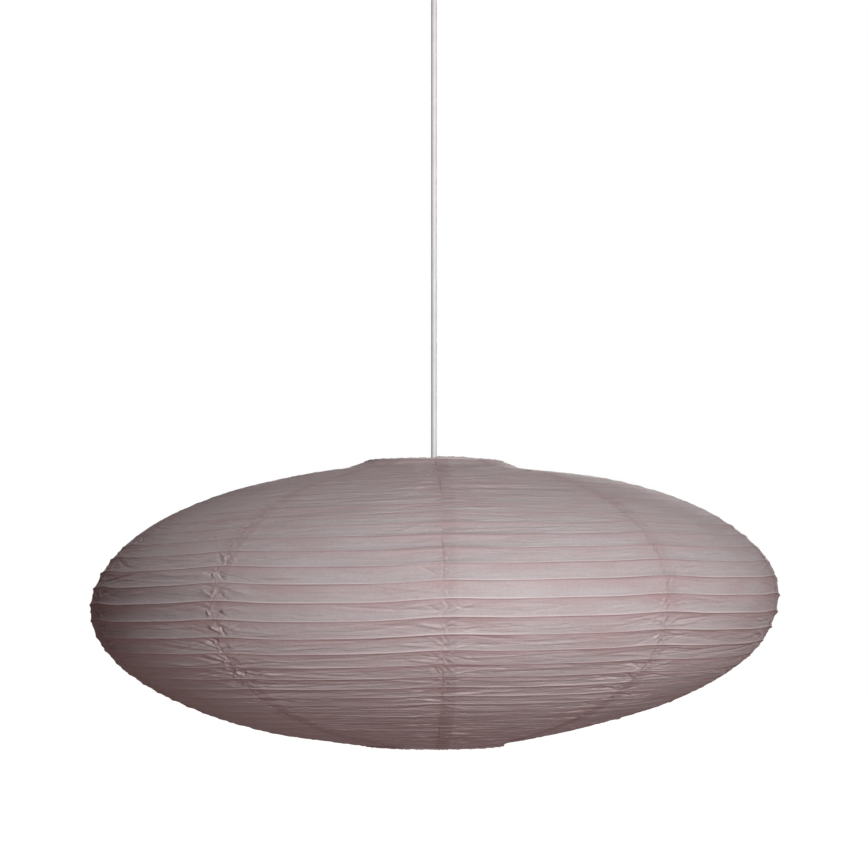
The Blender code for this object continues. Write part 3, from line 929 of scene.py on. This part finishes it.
def cut(obj, cutters):
    """Takes boxes and cylinders out of a piece: each cutter is (size, place, kind, turn about X)."""
    for size, place, kind, turn in cutters:
        solid = bmesh.new()
        if kind == "box":
            bmesh.ops.create_cube(solid, size=MM)
        else:
            bmesh.ops.create_cone(solid, cap_ends=True, segments=40, radius1=MM / 2, radius2=MM / 2, depth=MM)
        bmesh.ops.scale(solid, vec=size, verts=solid.verts)
        tool = solid_object("cutter", solid)
        tool.location = Vector(place) * MM
        tool.rotation_euler = (turn, 0.0, 0.0)
        modifier = obj.modifiers.new("cut", "BOOLEAN")
        modifier.operation = "DIFFERENCE"
        modifier.solver = "EXACT"
        modifier.object = tool
        bpy.context.view_layer.update()
        result = bpy.data.meshes.new_from_object(obj.evaluated_get(bpy.context.evaluated_depsgraph_get()))
        obj.modifiers.clear()
        obj.data = result
        bpy.data.objects.remove(tool, do_unlink=True)
    obj.data.set_sharp_from_angle(angle=SHARP_ANGLE)


def rounded_box(name, size, place, edge):
    solid = bmesh.new()
    bmesh.ops.create_cube(solid, size=MM)
    bmesh.ops.scale(solid, vec=size, verts=solid.verts)
    bmesh.ops.bevel(solid, geom=solid.edges, offset=edge * MM, segments=4, profile=0.5, affect="EDGES")
    bmesh.ops.translate(solid, vec=place * MM, verts=solid.verts)
    obj = solid_object(name, solid)
    shade(obj)
    return obj


def side_screw(name, node, radius, steps, slit, body, slot):
    """A small screw that lies along Y, with a slit in its -Y end."""
    low, high, middle = box(node)
    half = (high.y - low.y) / 2
    screw = lathe(name, rounded([(0.0, half), (radius, half), (radius, -half), (0.0, -half)], 0.3), steps)
    screw.data.transform(Matrix.Translation(middle * MM) @ Matrix.Rotation(math.pi / 2, 4, "X"))
    cut(screw, [(slit, (middle.x, low.y, middle.z), "box", 0.0)])
    settle(screw, body, slot, node)


def make_ceiling_fitting():
    body = "ceiling_fitting"
    white = "white_plastic"
    low, high, middle = box("mounting_plate")
    plate = [(0.0, high.z), (high.x, high.z), (high.x, low.z), (0.0, low.z)]
    plate = lathe("ceiling_plate", rounded(plate, 0.6), 128)
    cut(plate, [((5.0, 5.0, 10.0), (x, 0.0, low.z), "cylinder", 0.0) for x in (-30.0, 30.0)])
    settle(plate, body, "zinc_steel", "mounting_plate")
    for side in ("left", "right"):
        low, high, middle = box("plate_screw_" + side)
        head = [(0.0, high.z), (2.0, high.z), (2.0, -2.3), (4.2, -2.3), (4.2, -2.9), (3.6, -3.9), (2.4, -4.6),
                (0.0, low.z)]
        screw = lathe("ceiling_screw_" + side, head, 48, (middle.x, 0.0, 0.0))
        at = (middle.x, 0.0, low.z)
        cut(screw, [((1.0, 4.5, 3.0), at, "box", 0.0), ((4.5, 1.0, 3.0), at, "box", 0.0)])
        settle(screw, body, "zinc_steel", "plate_screw_" + side)
    low, high, middle = box("terminal_block")
    block = rounded_box("connector_block", high - low, middle, 1.2)
    wells = [((5.2, 5.2, 3.0), (x, low.y, middle.z), "cylinder", math.pi / 2) for x in (-7.0, 7.0)]
    ways = [((4.6, 4.6, 12.0), (x, middle.y + 1.5, low.z), "cylinder", 0.0) for x in (-7.0, 7.0)]
    cut(block, wells + ways + [((1.2, 1.0, 20.0), (0.0, low.y, middle.z), "box", 0.0)])
    settle(block, body, white, "terminal_block")
    for side in ("live", "neutral"):
        side_screw("connector_screw_" + side, "terminal_screw_" + side, 1.8, 40, (0.6, 1.6, 6.0), body,
                   "brass")
    cup = smooth_line([(49.8, -0.8), (50.0, -3.0), (49.9, -8.0), (48.8, -19.0), (46.6, -30.0), (43.0, -40.0),
                       (37.6, -48.4), (30.0, -55.0), (22.0, -59.2), (14.0, -61.4), (8.6, -62.0)])
    cup += smooth_line([(8.6, -60.0), (14.0, -59.4), (21.4, -57.3), (29.0, -53.4), (36.0, -47.0),
                        (41.1, -39.0), (44.7, -29.5), (46.9, -18.5), (48.0, -8.0), (48.1, -0.6)])
    turned("canopy_cup", "ceiling_cup", cup, 160, body, white)
    grip = [(8.0, -52.0), (8.0, -62.3), (10.5, -62.3), (10.5, -66.8), (3.4, -66.8), (3.4, -52.0)]
    turned("cord_grip_bush", "cord_grip", between(rounded(grip, 0.7), 0.3), 96, body, white,
           shape=thread(-60.0, -52.2, 8.0, 0.4, 1.4))
    nut = rounded([(12.0, -54.5), (12.0, -58.5), (8.3, -58.5), (8.3, -54.5)], 0.4)
    turned("cord_grip_ring_nut", "cord_grip_nut", between(nut, 0.5), 192, body, white,
           shape=flutes(24, 10.8, 11.8, 0.6))
    low, high, middle = box("cord_boot")
    boot = [(0.0, middle.z + 5.0)]
    for angle in (math.pi * i / 60 for i in range(1, 60)):
        ridge = 0.35 * (0.5 - 0.5 * math.cos(10.0 * angle)) * math.sin(angle) ** 2
        boot.append(((5.0 - ridge) * math.sin(angle), middle.z + 5.0 * math.cos(angle)))
    boot.append((0.0, middle.z - 5.0))
    turned("flexing_boot", "cord_boot", boot, 64, "boot", "grey_rubber")


def make_holder():
    """The lamp holder. Heights are counted from the place where the nut clamps the expander."""
    body = "pendant"
    white = "white_plastic"
    gland = rounded([(6.2, 45.0), (6.2, 38.3), (3.4, 38.3), (3.4, 45.0)], 0.9)
    turned("cord_gland_bush", "cord_gland", gland, 72, body, white, at=HOLDER)
    side_screw("cord_gland_screw", "gland_screw", 1.4, 32, (0.5, 1.2, 6.0), body, white)
    cap = smooth_line([(6.3, 38.0), (6.8, 35.8), (8.5, 33.8), (12.0, 32.5), (15.5, 30.5), (18.4, 27.6),
                       (20.5, 23.6), (21.7, 18.0), (22.3, 11.0), (22.5, 2.2)])
    cap += [(22.4, 1.8), (20.7, 1.8)]
    cap += smooth_line([(20.5, 2.2), (20.3, 11.0), (19.7, 17.5), (18.4, 22.6), (16.0, 26.5), (13.0, 29.2),
                        (8.0, 30.5), (4.0, 31.6), (3.6, 34.5), (3.6, 37.8)])
    turned("holder_cap", "lampholder_cap", cap, 216, body, white, at=HOLDER,
           shape=flutes(36, 21.4, 22.2, 0.3, power=1, foot=1.8))
    skirt = rounded([(19.4, 15.0), (19.4, -34.0), (16.8, -34.0), (16.8, 2.0), (15.0, 2.0), (15.0, 5.0),
                     (16.8, 5.0), (16.8, 15.0)], 0.4)
    turned("holder_skirt", "lampholder_body", between(skirt, 0.4), 120, body, white, at=HOLDER,
           shape=thread(-32.0, 0.5, 19.4, 0.8, 2.8))
    nut = rounded([(29.0, -1.8), (29.0, -5.0), (26.5, -14.0), (19.8, -14.0), (19.8, -1.8)], 0.8)
    turned("shade_ring_nut", "shade_nut", between(nut, 0.7), 240, "shade_nut", white, at=HOLDER,
           shape=flutes(30, 25.5, 26.6, 0.9))
    insert = rounded([(0.0, 12.0), (16.4, 12.0), (16.4, 5.3), (14.5, 5.3), (14.5, 2.0), (0.0, 2.0)], 0.5)
    turned("holder_insert_block", "lampholder_insert", insert, 72, body, "holder_insert", at=HOLDER)
    outer = [(14.25 + 0.30 * math.cos(TAU * i / 12), 0.2 - 25.5 * i / 96) for i in range(97)]
    inner = [(radius - 0.6, height) for radius, height in reversed(outer)]
    shell = [(6.0, 1.5), (14.0, 1.5)] + outer + inner + [(13.4, 0.7), (6.0, 0.7)]

    def wound(radii, heights, angles):
        """The socket's rolled thread: both faces of its wall wave together."""
        wave = 0.3 * np.cos(TAU * heights / 3.6 - angles)
        wall = np.where(radii > 13.9, 14.25, 13.65)
        return np.where((heights < 0.1) & (radii > 13.0), wall + wave, radii)

    turned("threaded_socket", "socket_shell", shell, 96, body, "brass", at=HOLDER, shape=wound)
    tongue = rounded([(0.0, 1.6), (4.0, 1.6), (4.0, -0.8), (2.6, -1.2), (0.0, -1.2)], 0.3)
    turned("socket_tongue", "socket_contact", tongue, 48, body, "brass", at=HOLDER)


def make_lamp():
    tip = rounded([(0.0, -1.8), (3.0, -1.9), (4.5, -2.5), (4.5, -3.6), (0.0, -3.6)], 0.4)
    turned("lamp_tip", "lamp_contact", tip, 48, "lamp", "nickel_cap", at=HOLDER)
    cap = [(0.0, -4.0), (7.0, -4.0), (8.2, -4.4), (12.6, -7.0)]
    cap += [(13.2, -7.4 - 0.3 * i) for i in range(60)] + [(13.2, -26.2), (13.0, -27.0), (0.0, -27.0)]
    turned("lamp_screw_cap", "lamp_cap", cap, 96, "lamp", "nickel_cap", at=HOLDER,
           shape=thread(-24.0, -8.0, 13.2, 0.9, 3.6))
    neck = smooth_line([(13.6, -27.3), (14.3, -28.5), (15.8, -34.5), (19.6, -43.0), (25.0, -51.0),
                        (28.4, -56.5), (29.4, -59.4), (29.0, -60.0)])
    neck = [(0.0, -27.3)] + neck + [(0.0, -60.0)]
    turned("lamp_neck", "lamp_housing", neck, 128, "lamp", "white_plastic", at=HOLDER)
    dome = smooth_line([(29.2, -60.8), (29.8, -65.0), (30.0, -70.0), (29.6, -77.0), (28.0, -85.0),
                        (25.0, -93.0), (20.5, -100.0), (14.5, -105.5), (7.5, -108.6), (2.5, -109.4),
                        (0.0, -109.5)])
    turned("lamp_diffuser", "lamp_dome", [(0.0, -60.3), (28.6, -60.3)] + dome, 128, "lamp", "opal_dome",
           at=HOLDER, sharp=math.radians(50.0))


make_shade()
make_cords()
make_wires()
make_ceiling_fitting()
make_holder()
make_cores()
make_lamp()


# --- Stage ---

# name, place from the shade's centre, size in metres, power in watts and colour
LIGHTS = [("key", (0.85, -2.90, 0.52), 0.9, 66.0, (0.96, 0.99, 1.0)),
          ("right_fill", (2.7, -0.9, 0.25), 1.4, 5.0, (1.0, 0.97, 0.96)),
          ("back", (0.3, 2.9, 0.30), 1.6, 52.0, (1.0, 0.98, 0.97)),
          ("overhead", (0.4, -0.9, 2.6), 1.8, 19.0, (0.99, 0.99, 1.0)),
          ("floor_bounce", (0.75, -1.9, -1.9), 1.8, 18.0, (1.0, 0.77, 0.76))]


def make_camera():
    data = bpy.data.cameras.new("view")
    data.sensor_width = 36.0
    data.lens = 36.0 * FOCAL_WIDTHS
    data.clip_end = 200.0
    camera = new_object("view", data)
    camera.location = (0.0, -CAMERA_DISTANCE, CENTRE_Z)
    camera.rotation_euler = (math.pi / 2 + VIEW_TILT, 0.0, 0.0)
    bpy.context.scene.camera = camera


def make_lights():
    for name, place, size, power, colour in LIGHTS:
        data = bpy.data.lights.new(name, "AREA")
        data.shape = "DISK"
        data.size = size
        data.energy = power
        data.color = colour
        light = new_object(name, data)
        light.location = Vector(place) + Vector((0.0, 0.0, CENTRE_Z))
        light.rotation_euler = (-Vector(place)).to_track_quat("-Z", "Y").to_euler()


def make_world():
    """A dim pink surrounding light, which the camera sees as white."""
    world = bpy.data.worlds.new("studio")
    bpy.context.scene.world = world
    world.use_nodes = True
    nodes = world.node_tree.nodes
    link = world.node_tree.links.new
    soft = nodes["Background"]
    soft.inputs["Color"].default_value = (1.0, 0.70, 0.67, 1.0)
    soft.inputs["Strength"].default_value = 0.12
    seen = nodes.new("ShaderNodeBackground")
    seen.inputs["Color"].default_value = (1.0, 1.0, 1.0, 1.0)
    share = nodes.new("ShaderNodeMixShader")
    link(nodes.new("ShaderNodeLightPath").outputs["Is Camera Ray"], share.inputs["Fac"])
    link(soft.outputs["Background"], share.inputs[1])
    link(seen.outputs["Background"], share.inputs[2])
    link(share.outputs["Shader"], nodes["World Output"].inputs["Surface"])


def make_floor():
    size = 60.0
    corners = [(x * size, y * size, FLOOR_Z) for x, y in ((-1, -1), (1, -1), (1, 1), (-1, 1))]
    floor = mesh_object("floor", corners, [[0, 1, 2, 3]])
    m = Nodes("pale_floor")
    m.fill(Base_Color=(0.80, 0.80, 0.80), Roughness=0.9, Emission_Color=(1.0, 1.0, 1.0),
           Emission_Strength=1.0)
    floor.data.materials.append(m.material)
    floor.visible_diffuse = floor.visible_glossy = floor.visible_transmission = False


make_camera()
make_world()
make_floor()
make_lights()
bpy.context.scene.view_settings.view_transform = "Standard"
